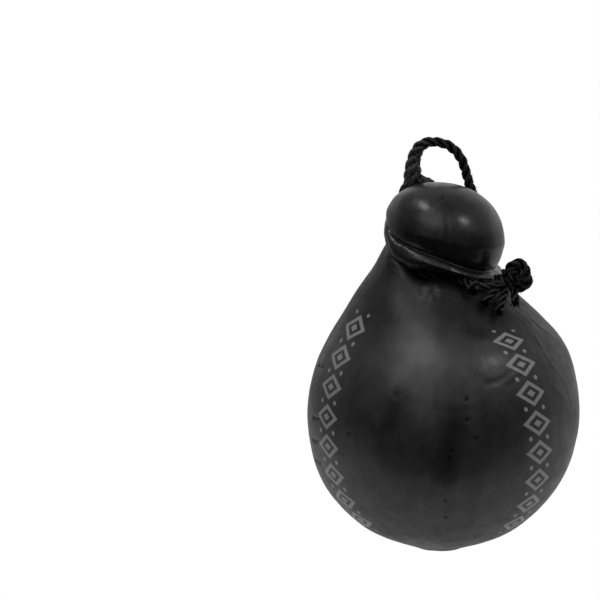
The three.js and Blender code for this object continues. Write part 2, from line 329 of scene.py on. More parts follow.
# %% Draw the printed lozenges and dots
band = add(tree, "ShaderNodeSeparateXYZ", {
    0: add(tree, "ShaderNodeAttribute", attribute_name="band_place").outputs["Vector"],
})
across = add(tree, "ShaderNodeMath", {0: band.outputs["X"]}, operation="ABSOLUTE")
in_pitch = add(tree, "ShaderNodeMath", {0: band.outputs["Y"], 1: LOZENGE_PITCH}, operation="FLOORED_MODULO")
from_middle = add(tree, "ShaderNodeMath", {0: in_pitch, 1: LOZENGE_PITCH / 2}, operation="SUBTRACT")
along = add(tree, "ShaderNodeMath", {0: from_middle}, operation="ABSOLUTE")
wide = add(tree, "ShaderNodeMath", {0: across, 1: LOZENGE_HALF_WIDTH}, operation="DIVIDE")
high = add(tree, "ShaderNodeMath", {0: along, 1: LOZENGE_HALF_HEIGHT}, operation="DIVIDE")
lozenge = add(tree, "ShaderNodeMath", {0: wide, 1: high}, operation="ADD")
outline = add(tree, "ShaderNodeMath", {
    0: lozenge, 1: LOZENGE_LINE[0], 2: LOZENGE_LINE[1],
}, operation="COMPARE")
heart = add(tree, "ShaderNodeMath", {0: lozenge, 1: LOZENGE_HEART}, operation="LESS_THAN")
to_edge = add(tree, "ShaderNodeMath", {0: LOZENGE_PITCH / 2, 1: along}, operation="SUBTRACT")
to_dot = add(tree, "ShaderNodeMath", {0: across, 1: DOT_ACROSS}, operation="SUBTRACT")
dot_place = add(tree, "ShaderNodeCombineXYZ", {"X": to_dot, "Y": to_edge})
dot_distance = add(tree, "ShaderNodeVectorMath", {0: dot_place}, operation="LENGTH")
dot = add(tree, "ShaderNodeMath", {0: dot_distance.outputs["Value"], 1: DOT_RADIUS}, operation="LESS_THAN")
figure = add(tree, "ShaderNodeMath", {0: outline, 1: heart}, operation="MAXIMUM")
printed = add(tree, "ShaderNodeMath", {0: figure, 1: dot}, operation="MAXIMUM")
on_band = add(tree, "ShaderNodeMath", {0: printed, 1: band.outputs["Z"]}, operation="MULTIPLY")
wear = add(tree, "ShaderNodeMapRange", {"Value": grain, "From": (0.3, 0.5), "To": INK_LEFT})
ink = add(tree, "ShaderNodeMath", {0: on_band, 1: wear}, operation="MULTIPLY")
colour = add(tree, "ShaderNodeMix", {
    "Factor": ink, "A": dusted.outputs["Result"], "B": linear(INK),
}, data_type="RGBA")
tree.links.new(colour.outputs["Result"], shader.inputs["Base Color"])

# %% Give the wax its gloss and its fine skin
BODY_ROUGHNESS = 0.44
HEAD_ROUGHNESS = 0.29
NECK_LEVELS = (158 * MM, 172 * MM)  # where the body's roughness turns to the head's
ROUGHER = (-0.09, 0.11)  # what smudges and scuffs add to the roughness
STREAK_SHEEN = (0.39, 0.54)  # in the dullest and in the brightest of the streaks from dipping
BELLY_SHEEN = 1.6  # this and the next two are shares of that
SHOULDER_SHEEN = 0.6
HEAD_SHEEN = 1.05
SHOULDER_HEIGHTS = (110 * MM, 146 * MM)  # where the belly's sheen turns to the shoulder's
GROOVE_LEVELS = (160 * MM, 168 * MM)  # where the shoulder's sheen turns to the head's
MOST_LOST = 0.9  # how much rubbing and scoring leaves only the last of the sheen
LAST_SHEEN = 0.1
SCUFFS_IN_SKIN = 2.0  # how much more they count than the grain
SKIN_DEPTH = 0.06 * MM

height = add(tree, "ShaderNodeSeparateXYZ", {0: place}).outputs["Z"]
# The neck slopes, so its gloss follows the rings and not the plain height
level = add(tree, "ShaderNodeAttribute", attribute_name="ring_height").outputs["Fac"]
even_roughness = add(tree, "ShaderNodeMapRange", {
    "Value": level, "From": NECK_LEVELS, "To": (BODY_ROUGHNESS, HEAD_ROUGHNESS),
}, interpolation_type="SMOOTHSTEP")
both_marks = add(tree, "ShaderNodeMath", {0: smudges, 1: scuffs}, operation="ADD")
uneven = add(tree, "ShaderNodeMapRange", {"Value": both_marks, "From": (0.7, 1.3), "To": ROUGHER})
roughness = add(tree, "ShaderNodeMath", {0: even_roughness, 1: uneven}, operation="ADD")
tree.links.new(roughness.outputs[0], shader.inputs["Roughness"])
streak_scale = (1 / (STREAK_ROUND_MM * MM), 1 / (STREAK_ROUND_MM * MM), 1 / (STREAK_DOWN_MM * MM))
streak_place = add(tree, "ShaderNodeVectorMath", {0: place, 1: streak_scale}, operation="MULTIPLY")
streaks = add(tree, "ShaderNodeTexNoise", {
    "Vector": streak_place, "Scale": 1.0, "Detail": 3.0, "Distortion": 0.5,
})
even_sheen = add(tree, "ShaderNodeMapRange", {"Value": streaks, "From": (0.3, 0.65), "To": STREAK_SHEEN})
rubbed = add(tree, "ShaderNodeAttribute", attribute_name="dull").outputs["Fac"]
patchy = add(tree, "ShaderNodeMath", {0: rubbed, 1: scuffs}, operation="MULTIPLY")
scored = add(tree, "ShaderNodeAttribute", attribute_name="scored").outputs["Fac"]
lost = add(tree, "ShaderNodeMath", {0: patchy, 1: scored}, operation="ADD")
body_most = add(tree, "ShaderNodeMapRange", {
    "Value": height, "From": SHOULDER_HEIGHTS, "To": (BELLY_SHEEN, SHOULDER_SHEEN),
}, interpolation_type="SMOOTHSTEP")
most = add(tree, "ShaderNodeMapRange", {
    "Value": level, "From": GROOVE_LEVELS, "To": (body_most, HEAD_SHEEN),
}, interpolation_type="SMOOTHSTEP")
kept = add(tree, "ShaderNodeMapRange", {"Value": lost, "From Max": MOST_LOST, "To": (most, LAST_SHEEN)})
sheen = add(tree, "ShaderNodeMath", {0: even_sheen, 1: kept}, operation="MULTIPLY")
tree.links.new(sheen.outputs[0], shader.inputs["Specular IOR Level"])
rough_skin = add(tree, "ShaderNodeMath", {0: scuffs, 1: SCUFFS_IN_SKIN, 2: grain}, operation="MULTIPLY_ADD")
skin = add(tree, "ShaderNodeBump", {"Height": rough_skin, "Strength": 0.35, "Distance": SKIN_DEPTH})
tree.links.new(skin.outputs["Normal"], shader.inputs["Normal"])
print(wax.name, "has", len(tree.nodes), "nodes")

# %% [markdown]
# ## The shape of the cheese
# The cheese is round about a standing axis, so its shape is a rule: an outline turned into rings. Each ring
# has a radius and a height, and because the cheese hung from a slanting tie, also a shift to the side and a
# share of the tie's slope. The outline could be revolved with a Screw modifier, but then it would stand
# straight. So the rings are the points of a guide curve: X is the radius, Y the shift, Z the height and the
# point's own radius the share of slope. A tree samples that curve for each point of a grid and rolls the grid
# up. On the body the rings lie on the same smooth curve through a few points as the solid's outline.
# The tie squeezed a roll of cheese up under the head. It is a narrow lip at the front and a tall soft one at
# the left, so the neck and the head have a second set of rings for that side. The groove hangs down at the
# front left and the fold under the head at the right, so two sags lower the rings there.

# %% List the rings of the cheese
BODY_MM = [  # radius and height, from the edge of the flat spot to the tie
    (12.5, 0), (44.9, 13.5), (69.2, 41.1), (77.7, 76.7), (71.3, 111.6), (54, 138.8), (35.7, 159.5),
]
RINGS_BETWEEN = 6
NECK_RINGS_MM = [  # from the shoulder through the groove and over the lip to the bottom of the fold
    (40.5, 154.4), (38.3, 156.7), (36.2, 158.5), (33.8, 159.8), (31.2, 160.6), (28.6, 161.2), (26.4, 162.2),
    (25.4, 163.8),
    (26.6, 165.4), (29.2, 165.8), (31.4, 166.5), (33, 167.7), (34, 169.3), (34.4, 170.8), (34, 172.1),
    (33, 173.2), (31.7, 174), (30.4, 174.6),
]
HEAD_RINGS_MM = [(31.2, 175.6), (32.2, 176.9), (33, 178.8), (33.5, 181.4), (33.7, 184.2)]  # to its widest
LEFT_NECK_RINGS_MM = [  # the same two at the left, where wax fills the groove and the fold is shallow
    (41, 154.4), (39.8, 156.3), (38.6, 158.3), (37.2, 160.4), (35.6, 162.6), (34, 165), (33.2, 168),
    (32.9, 172), (33.1, 177.5),
    (33.7, 181), (33.9, 184),
]
LEFT_HEAD_RINGS_MM = [(33.9, 186), (33.5, 188.6)]
HEAD_RADIUS = 33.4
HEAD_MIDDLE = 185
HEAD_RISE = 24.6
CROWN_POWER = 0.93  # below one, so that the crown is fuller than an ellipse
CROWN_RINGS_MM = []
for degrees in (15, 30, 45, 60, 72, 82, 90):
    turn = math.radians(degrees)
    crown_radius = HEAD_RADIUS * max(math.cos(turn), 0) ** CROWN_POWER
    CROWN_RINGS_MM.append((crown_radius, HEAD_MIDDLE + HEAD_RISE * math.sin(turn)))
BODY_RINGS_MM = [(0, 0), (6, 0), tuple(BODY_MM[0])]
padded = [Vector(ring) for ring in (BODY_MM[0], *BODY_MM, BODY_MM[-1])]
for before, start, end, after in zip(padded, padded[1:], padded[2:], padded[3:]):
    handles = start + (end - before) / 6, end - (after - start) / 6  # as on a Catmull-Rom curve
    stretch = geometry.interpolate_bezier(start, *handles, end, RINGS_BETWEEN + 1)
    BODY_RINGS_MM += [tuple(ring) for ring in stretch[1:]]
del BODY_RINGS_MM[-RINGS_BETWEEN // 2:]  # half of the last stretch is the neck's
FOOT_SHIFT_MM = -1.9  # to the right, so the foot lies a little to the left
SHIFTS_MM = [  # how much further to the right, and the heights where that starts and is reached
    (1.9, 0, 76.7), (2.1, 75, 159.5), (-0.1, 159.5, 161), (-3.2, 161, 171), (2, 174.6, 185),
]
TIE_SIDE_SLOPE = 0.31  # the tie falls to the right
TIE_FRONT_SLOPE = 0.15  # and to the front
SLOPE_FOOT = 110.4  # heights where the rings begin to slope, and where they slope with the tie
SLOPE_FULL = 161
LIP_TOP = 171  # from here to the middle of the head they level off
HEAD_LEVELS_BY = 0.42
CROWN_SLOPE = 0.36  # the share of the slope at the very top


def step(value, start, end):
    """Rises smoothly from nought at start to one at end."""
    share = min(max((value - start) / (end - start), 0), 1)
    return share * share * (3 - 2 * share)


def ring_shift(height):
    """How far to the right, in millimetres, the ring at a height lies."""
    return FOOT_SHIFT_MM + sum(shift * step(height, start, end) for shift, start, end in SHIFTS_MM)


def slope_share(height):
    """The share of the tie's slope that the ring at a height has."""
    rising = min(max((height - SLOPE_FOOT) / (SLOPE_FULL - SLOPE_FOOT), 0), 1) ** 2
    easing = 1 - HEAD_LEVELS_BY * step(height, LIP_TOP, HEAD_MIDDLE)
    crown = step(height, HEAD_MIDDLE, HEAD_MIDDLE + HEAD_RISE)
    return rising * (easing + (CROWN_SLOPE - easing) * crown)


SAG_MM = 5.6  # how far the groove hangs down at the front left
SAG_LEFT = [math.radians(degrees) for degrees in (-74, -36)]
SAG_RIGHT = [math.radians(degrees) for degrees in (-2, -42)]
SAG_FOOT = [138 * MM, 160 * MM]
SAG_TOP = [175.5 * MM, 166.5 * MM]
FOLD_SAG_MM = 3.2  # how far the fold under the head hangs down at the right
FOLD_SAG_RIGHT = [math.radians(degrees) for degrees in (-15, 50)]
FOLD_SAG_BACK = [math.radians(degrees) for degrees in (180, 120)]
FOLD_SAG_FOOT = [168 * MM, 174.6 * MM]
FOLD_SAG_TOP = [190 * MM, 176 * MM]

ring_guides = {}
key_lengths = {}
sides = {"Rings": (NECK_RINGS_MM, HEAD_RINGS_MM), "Left Rings": (LEFT_NECK_RINGS_MM, LEFT_HEAD_RINGS_MM)}
for name, (neck_rings, head_rings) in sides.items():
    outline_mm = BODY_RINGS_MM + neck_rings + head_rings + CROWN_RINGS_MM
    places = [Vector((r, ring_shift(z), z)) * MM for r, z in outline_mm]
    ring_guides[name] = guide_curve(name, [places], [[slope_share(z) for r, z in outline_mm]])
    lengths = [0]
    for (r, z), (next_r, next_z) in zip(outline_mm, outline_mm[1:]):
        lengths.append(lengths[-1] + math.hypot(next_r - r, next_z - z))
    shoulder = len(BODY_RINGS_MM) - 1
    fold = shoulder + len(neck_rings)
    crown = fold + len(head_rings) + 1
    key_lengths[name] = [lengths[i] / lengths[-1] for i in (shoulder, fold, crown)]
    print(name, "reach shoulder, fold and crown at", [round(share, 3) for share in key_lengths[name]])

# %% [markdown]
# ## Marks in the wax
# The wax has a dull seam down the front, small pits where air escaped, creases where the cheese sagged on its
# shelf, raised ridges on the right shoulder, short nicks down the left and faint pleats under the tie. Each
# mark is a short line or a point that lies on the solid cheese. It is found by looking straight back from the
# front, or straight in towards the axis. The tree then presses the wax in or out near these guides, so that
# the marks are in the mesh, and tells the material where wax is rubbed dull or too sharply marked to shine.

# %% Lay the guides of the marks on the cheese
AWAY = 0.3  # metres from the axis, well outside the cheese


def seen_from_front(x, z):
    """The point of the cheese that shows at x and z millimetres, looking straight back."""
    start = Vector((x * MM, -AWAY, z * MM))
    hit, point, _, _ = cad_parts["cheese"].ray_cast(start, Vector((0, 1, 0)))
    return point if hit else Vector((x * MM, 0, z * MM))


def seen_from_side(degrees, z):
    """The point of the cheese at a height in millimetres and an angle round from the front to the right."""
    turn = math.radians(degrees)
    outward = Vector((math.sin(turn), -math.cos(turn), 0))
    middle = Vector((ring_shift(z) * MM, 0, z * MM))
    hit, point, _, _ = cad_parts["cheese"].ray_cast(middle + AWAY * outward, -outward)
    return point if hit else middle


# Each point of a mark is given as x and z in millimetres, as it is seen from the front
RUBBED = [
    [(6, 92), (6.4, 84), (4.2, 75), (3.4, 64), (1.8, 55)],
    [(15, 133.5), (18, 133), (21, 132)],
    [(-25, 100), (-26.4, 94), (-28.4, 86)],
]
CREASES = [
    [(24, 106), (29, 107), (34, 109), (39.8, 113.5), (43, 117)],
    [(35.5, 104.4), (40, 107), (44.6, 110.2)],
]
FAINT_CREASES = [
    [(2, 201), (1.6, 194), (2.2, 186), (1.8, 180)],
    [(1.8, 55), (1.6, 44), (2.2, 30), (1.6, 18), (1.2, 8)],
    [(44, 134), (48, 126), (51, 121)],
    [(-6, 155.5), (-5, 152.6), (-3.8, 149.6)],
]
NICKS = [
    [(-70.6, 107), (-67.4, 107.6)], [(-73.4, 79), (-69.6, 79.4)], [(-73.6, 65.6), (-70.4, 66)],
    [(-72, 53), (-68.8, 53.2)],
]
RIDGES = [
    [(49.5, 135), (56, 129.5), (62.6, 124), (68, 117), (71.5, 110)],
    [(50.6, 128), (55.8, 119.7), (60.9, 110.8)],
    [(59.2, 113.8), (68.4, 100.7), (72.4, 86.8)],
    [(62, 99.8), (69.5, 89.6)],
]
PITS = [
    (4.4, 70.5), (3.8, 66), (1.6, 41), (2, 30), (13.2, 87), (12.9, 98), (17.4, 77), (-52, 76),
    (-0.8, 204.2), (-0.2, 203.2), (-1.4, 203.4),
]
PLEAT_SEED = 4
PLEATS = 34
PLEAT_JITTER = 0.3  # of the way from one to the next
PLEAT_TOP_MM = 157.5
PLEAT_RADIUS_MM = 34
PLEAT_FALL_MM = (4, 14)
PLEAT_DRIFT = 5  # degrees to either side on the way down

pleats = []
draw = random.Random(PLEAT_SEED)
for i in range(PLEATS):
    degrees = 360 / PLEATS * (i + draw.uniform(-PLEAT_JITTER, PLEAT_JITTER))
    turn = math.radians(degrees)
    slope = TIE_SIDE_SLOPE * math.sin(turn) + TIE_FRONT_SLOPE * math.cos(turn)
    top = PLEAT_TOP_MM - PLEAT_RADIUS_MM * slope
    fall = draw.uniform(*PLEAT_FALL_MM)
    drift = draw.uniform(-PLEAT_DRIFT, PLEAT_DRIFT)
    pleats.append([seen_from_side(degrees + drift * share, top - fall * share) for share in (0, 0.5, 1)])
mark_guides = {"Pleats": guide_curve("pleats", pleats)}
front_marks = {
    "Rubbed": RUBBED, "Creases": CREASES, "Faint Creases": FAINT_CREASES, "Nicks": NICKS, "Ridges": RIDGES,
}
for name, lines in front_marks.items():
    mark_guides[name] = guide_curve(name, [[seen_from_front(x, z) for x, z in line] for line in lines])
pit_mesh = bpy.data.meshes.new("pits")
pit_mesh.from_pydata([seen_from_front(x, z) for x, z in PITS], [], [])
mark_guides["Pits"] = bpy.data.objects.new("pits", pit_mesh)
scene.collection.objects.link(mark_guides["Pits"])
print(len(CREASES), "creases,", PLEATS, "pleats,", len(PITS), "pits")

# %% [markdown]
# ## The tree that models the cheese
# The grid has one side for the way round and one for the way up. Sampling the ring curve by the second gives
# each point its ring, and the first gives its angle on it. Then the wax gets its relief along the normals:
# broad lumps and small dents from the hand that shaped it, runs down the flanks from dipping, crumples round
# the neck from the tie, and the marks above.

# %% Roll a grid up into rings
# Angles from the front, where the left lip begins to rise and where it is full
LEFT_STARTS = [math.radians(degrees) for degrees in (-40, -84)]
LEFT_ENDS = [math.radians(degrees) for degrees in (-180, -150)]
# Angles by which the shoulder turns to its left shape sooner, and the fold later
LEFT_LATER = [math.radians(degrees) for degrees in (-17, 12)]
LEFT_LATER_ROWS = (0.67, 0.75)  # shares of the grid's rows where the one gives way to the other
DENSER_AT_FRONT = 0.4  # how much closer the columns of the grid are at the front than on average
KEY_ROWS = (0.6, 0.79, 0.88)  # the shares of the grid's rows that shoulder, fold and crown lie at

cheese_tree = new_tree("moulded_cheese", [
    ("Rings", "Object", None), ("Left Rings", "Object", None), ("Rubbed", "Object", None),
    ("Creases", "Object", None), ("Faint Creases", "Object", None), ("Nicks", "Object", None),
    ("Ridges", "Object", None), ("Pleats", "Object", None), ("Pits", "Object", None),
    ("Points Round", "Int", 301), ("Points Up", "Int", 330),
    ("Lump Height", "Float", 0.5 * MM), ("Run Height", "Float", 0.15 * MM), ("Material", "Material", None),
])
tree = cheese_tree
given = add(tree, "NodeGroupInput").outputs
grid = add(tree, "GeometryNodeMeshGrid", {
    "Size X": 1.0, "Size Y": 1.0, "Vertices X": given["Points Round"], "Vertices Y": given["Points Up"],
})
spot = add(tree, "ShaderNodeSeparateXYZ", {0: add(tree, "GeometryNodeInputPosition")})
row_share = add(tree, "ShaderNodeMath", {0: spot.outputs["Y"], 1: 0.5}, operation="ADD")
even_angle = add(tree, "ShaderNodeMath", {0: spot.outputs["X"], 1: math.tau}, operation="MULTIPLY")
even_sine = add(tree, "ShaderNodeMath", {0: even_angle}, operation="SINE")
angle = add(tree, "ShaderNodeMath", {
    0: even_sine, 1: -DENSER_AT_FRONT, 2: even_angle,
}, operation="MULTIPLY_ADD")
sampled = []
for rings_name, shares in key_lengths.items():
    up_share = add(tree, "ShaderNodeFloatCurve", {"Value": row_share})
    for rows, length_share in zip(KEY_ROWS, shares):
        up_share.mapping.curves[0].points.new(rows, length_share)
    for point in up_share.mapping.curves[0].points:
        point.handle_type = "VECTOR"
    up_share.mapping.update()
    ring_curve = add(tree, "GeometryNodeCurveSplineType", {
        "Curve": add(tree, "GeometryNodeObjectInfo", {"Object": given[rings_name]}).outputs["Geometry"],
    }, spline_type="CATMULL_ROM")
    sampled.append(add(tree, "GeometryNodeSampleCurve", {
        "Curves": ring_curve, "Value": add(tree, "GeometryNodeInputRadius"), "Factor": up_share,
    }, use_all_curves=True))
later = add(tree, "ShaderNodeMapRange", {
    "Value": row_share, "From": LEFT_LATER_ROWS, "To": LEFT_LATER,
}, interpolation_type="SMOOTHSTEP")
later_angle = add(tree, "ShaderNodeMath", {0: angle, 1: later}, operation="ADD")
left_share = 1.0
for value, span in ((later_angle, LEFT_STARTS), (angle, LEFT_ENDS)):
    left_share = add(tree, "ShaderNodeMapRange", {
        "Value": value, "From": span, "To Max": left_share,
    }, interpolation_type="SMOOTHSTEP")
blended = add(tree, "ShaderNodeMix", {
    "Factor": left_share, "A": sampled[0].outputs["Position"], "B": sampled[1].outputs["Position"],
}, data_type="VECTOR")
ring_slope = add(tree, "ShaderNodeMix", {
    "Factor": left_share, "A": sampled[0].outputs["Value"], "B": sampled[1].outputs["Value"],
}, data_type="FLOAT")
ring_place = add(tree, "ShaderNodeSeparateXYZ", {0: blended})
sine = add(tree, "ShaderNodeMath", {0: angle}, operation="SINE")
cosine = add(tree, "ShaderNodeMath", {0: angle}, operation="COSINE")
right = add(tree, "ShaderNodeMath", {0: ring_place.outputs["X"], 1: sine}, operation="MULTIPLY")
front = add(tree, "ShaderNodeMath", {0: ring_place.outputs["X"], 1: cosine}, operation="MULTIPLY")
side_fall = add(tree, "ShaderNodeMath", {0: right, 1: TIE_SIDE_SLOPE}, operation="MULTIPLY")
fall = add(tree, "ShaderNodeMath", {0: front, 1: TIE_FRONT_SLOPE, 2: side_fall}, operation="MULTIPLY_ADD")
leant_fall = add(tree, "ShaderNodeMath", {0: fall, 1: ring_slope}, operation="MULTIPLY")
ring_up = ring_place.outputs["Z"]
sags = [
    (SAG_MM, [(later_angle, SAG_LEFT), (angle, SAG_RIGHT), (ring_up, SAG_FOOT), (ring_up, SAG_TOP)]),
    (FOLD_SAG_MM, [
        (angle, FOLD_SAG_RIGHT), (angle, FOLD_SAG_BACK), (ring_up, FOLD_SAG_FOOT), (ring_up, FOLD_SAG_TOP),
    ]),
]
fallen = leant_fall
for depth, limits in sags:
    sag = depth * MM
    for value, span in limits:
        sag = add(tree, "ShaderNodeMapRange", {
            "Value": value, "From": span, "To Max": sag,
        }, interpolation_type="SMOOTHSTEP")
    fallen = add(tree, "ShaderNodeMath", {0: fallen, 1: sag}, operation="ADD")
leant_up = add(tree, "ShaderNodeMath", {0: ring_place.outputs["Z"], 1: fallen}, operation="SUBTRACT")
leant_right = add(tree, "ShaderNodeMath", {0: right, 1: ring_place.outputs["Y"]}, operation="ADD")
back = add(tree, "ShaderNodeMath", {0: front, 1: -1.0}, operation="MULTIPLY")
leant = add(tree, "ShaderNodeCombineXYZ", {"X": leant_right, "Y": back, "Z": leant_up})
print("sized by", given["Points Round"].name, "and", given["Points Up"].name)

# %% Give each point its place on the printed bands
BAND_TOP = 128 * MM
BAND_FOOT = 14 * MM
BAND_START = 3 * LOZENGE_PITCH  # measured up the outline from the middle of the foot
BAND_END = 11 * LOZENGE_PITCH
BAND_HALF_WIDTH = 12 * MM
LEFT_BAND_DEGREES = -57
RIGHT_BAND_DEGREES = (52, 36)  # at its foot and at its top
SEAM = 0.002 * MM  # points nearer than this are one, where the two sides of the grid meet

round_angle = add(tree, "ShaderNodeMath", {0: leant_right, 1: front}, operation="ARCTAN2")
right_band = add(tree, "ShaderNodeMapRange", {
    "Value": leant_up, "From": (BAND_FOOT, BAND_TOP),
    "To": [math.radians(degrees) for degrees in RIGHT_BAND_DEGREES],
})
on_right = add(tree, "ShaderNodeMath", {0: leant_right, 1: 0.0}, operation="GREATER_THAN")
band_angle = add(tree, "ShaderNodeMix", {
    "Factor": on_right, "A": math.radians(LEFT_BAND_DEGREES), "B": right_band,
}, data_type="FLOAT")
off_band = add(tree, "ShaderNodeMath", {0: round_angle, 1: band_angle}, operation="SUBTRACT")
band_across = add(tree, "ShaderNodeMath", {0: off_band, 1: ring_place.outputs["X"]}, operation="MULTIPLY")
# Both outlines are the same on the body, so the last one serves
outline_length = add(tree, "GeometryNodeCurveLength", {"Curve": ring_curve})
band_along = add(tree, "ShaderNodeMath", {0: up_share, 1: outline_length}, operation="MULTIPLY")
below_top = add(tree, "ShaderNodeMath", {0: band_along, 1: BAND_END}, operation="LESS_THAN")
above_foot = add(tree, "ShaderNodeMath", {0: band_along, 1: BAND_START}, operation="GREATER_THAN")
in_length = add(tree, "ShaderNodeMath", {0: below_top, 1: above_foot}, operation="MULTIPLY")
in_width = add(tree, "ShaderNodeMath", {0: band_across, 1: 0.0, 2: BAND_HALF_WIDTH}, operation="COMPARE")
in_band = add(tree, "ShaderNodeMath", {0: in_length, 1: in_width}, operation="MULTIPLY")
banded = add(tree, "GeometryNodeStoreNamedAttribute", {
    "Geometry": grid, "Name": "band_place",
    "Value": add(tree, "ShaderNodeCombineXYZ", {"X": band_across, "Y": band_along, "Z": in_band}),
}, data_type="FLOAT_VECTOR")
banded = add(tree, "GeometryNodeStoreNamedAttribute", {
    "Geometry": banded, "Name": "ring_height", "Value": ring_place.outputs["Z"],
})
rolled = add(tree, "GeometryNodeSetPosition", {"Geometry": banded, "Position": leant})
closed = add(tree, "GeometryNodeMergeByDistance", {"Geometry": rolled, "Distance": SEAM})
print("bands at", LEFT_BAND_DEGREES, "and", RIGHT_BAND_DEGREES, "degrees")

# %% Press the marks and the lumps into the wax
MARKS = [  # guide, what is near to it, how far it reaches, how deep it goes
    ("Creases", "EDGES", 3 * MM, 0.22 * MM),
    ("Faint Creases", "EDGES", 2.6 * MM, 0.18 * MM),
    ("Nicks", "EDGES", 1.6 * MM, 0.8 * MM),
    ("Ridges", "EDGES", 2.2 * MM, -0.3 * MM),
    ("Pleats", "EDGES", 2.4 * MM, 0.14 * MM),
    ("Pits", "POINTS", 1.5 * MM, 0.7 * MM),
]
SCORED = ("Nicks", "Pits")  # the marks that are too sharp to shine
RUBBED_REACH = 9 * MM
DENT_HEIGHT = 0.25 * MM
CRUMPLE_HEIGHT = 0.75 * MM
NECK_STARTS = (150 * MM, 160 * MM)  # the rings where the crumpling by the tie sets in and is full
NECK_ENDS = (180 * MM, 173 * MM)

position = add(tree, "GeometryNodeInputPosition")
ring_height = add(tree, "GeometryNodeInputNamedAttribute", {"Name": "ring_height"}, data_type="FLOAT")
crumple_height = CRUMPLE_HEIGHT
for limits in NECK_STARTS, NECK_ENDS:
    crumple_height = add(tree, "ShaderNodeMapRange", {
        "Value": ring_height, "From": limits, "To Max": crumple_height,
    }, interpolation_type="SMOOTHSTEP")
level_place = add(tree, "ShaderNodeVectorMath", {0: position, 1: (1.0, 1.0, 0.0)}, operation="MULTIPLY")
neck_place = add(tree, "ShaderNodeVectorMath", {
    0: level_place, 1: add(tree, "ShaderNodeCombineXYZ", {"Z": ring_height}),
}, operation="ADD")
reliefs = {
    # name: what it follows, its size round and up in mm, detail, roughness and distortion, its height
    "lumps": (position, 42, 42, 2.0, 0.45, 0.0, given["Lump Height"]),
    "runs": (position, 13, 75, 2.0, 0.5, 0.6, given["Run Height"]),
    "dents": (position, 15, 15, 3.0, 0.5, 0.5, DENT_HEIGHT),
    "crumples": (neck_place, 11, 4.5, 2.0, 0.5, 0.0, crumple_height),
}
relief = 0.0
for followed, round_mm, up_mm, detail, roughness, distortion, most in reliefs.values():
    per_metre = (1 / (round_mm * MM), 1 / (round_mm * MM), 1 / (up_mm * MM))
    noise = add(tree, "ShaderNodeTexNoise", {
        "Vector": add(tree, "ShaderNodeVectorMath", {0: followed, 1: per_metre}, operation="MULTIPLY"),
        "Scale": 1.0, "Detail": detail, "Roughness": roughness, "Distortion": distortion,
    })
    swing = add(tree, "ShaderNodeMapRange", {"Value": noise, "To": (-1.0, 1.0)})
    relief = add(tree, "ShaderNodeMath", {0: swing, 1: most, 2: relief}, operation="MULTIPLY_ADD")
scored = 0.0
for guide_name, element, mark_reach, depth in MARKS:
    guide = add(tree, "GeometryNodeObjectInfo", {"Object": given[guide_name]}).outputs["Geometry"]
    if element == "EDGES":
        guide = add(tree, "GeometryNodeCurveToMesh", {"Curve": guide})
    near = add(tree, "GeometryNodeProximity", {"Geometry": guide}, target_element=element)
    pressed = add(tree, "ShaderNodeMapRange", {
        "Value": near.outputs["Distance"], "From Max": mark_reach, "To": (depth, 0.0),
    }, interpolation_type="SMOOTHSTEP")
    relief = add(tree, "ShaderNodeMath", {0: relief, 1: pressed}, operation="SUBTRACT")
    if guide_name in SCORED:
        share = add(tree, "ShaderNodeMath", {0: pressed, 1: depth}, operation="DIVIDE")
        scored = add(tree, "ShaderNodeMath", {0: scored, 1: share}, operation="MAXIMUM")
moved = add(tree, "ShaderNodeVectorMath", {
    0: add(tree, "GeometryNodeInputNormal"), "Scale": relief,
}, operation="SCALE")
rubbed_guide = add(tree, "GeometryNodeObjectInfo", {"Object": given["Rubbed"]}).outputs["Geometry"]
near_rubbed = add(tree, "GeometryNodeProximity", {
    "Geometry": add(tree, "GeometryNodeCurveToMesh", {"Curve": rubbed_guide}),
}, target_element="EDGES")
dull = add(tree, "ShaderNodeMapRange", {
    "Value": near_rubbed.outputs["Distance"], "From Max": RUBBED_REACH, "To": (1.0, 0.0),
}, interpolation_type="SMOOTHSTEP")
told = add(tree, "GeometryNodeStoreNamedAttribute", {"Geometry": closed, "Name": "dull", "Value": dull})
told = add(tree, "GeometryNodeStoreNamedAttribute", {"Geometry": told, "Name": "scored", "Value": scored})
waxed = add(tree, "GeometryNodeSetPosition", {"Geometry": told, "Offset": moved})
print(len(MARKS), "kinds of mark")

# %% Stand the cheese on the table and finish the tree
LOWEST = (-1.0, -1.0, 0.0)  # the table's height, and places that no point gets near to

floor_place = add(tree, "ShaderNodeVectorMath", {
    0: add(tree, "GeometryNodeInputPosition"), 1: LOWEST,
}, operation="MAXIMUM")
standing = add(tree, "GeometryNodeSetPosition", {"Geometry": waxed, "Position": floor_place})
smooth = add(tree, "GeometryNodeSetShadeSmooth", {"Geometry": standing})
finished = add(tree, "GeometryNodeSetMaterial", {"Geometry": smooth, "Material": given["Material"]})
add(tree, "NodeGroupOutput", {0: finished})
cheese = plain_piece("waxed_cheese", cheese_tree, {
    "Material": wax, **ring_guides, **mark_guides,
})
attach(cheese, "root")
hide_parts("cheese")
for guide in [*ring_guides.values(), *mark_guides.values()]:
    bpy.data.objects.remove(guide)
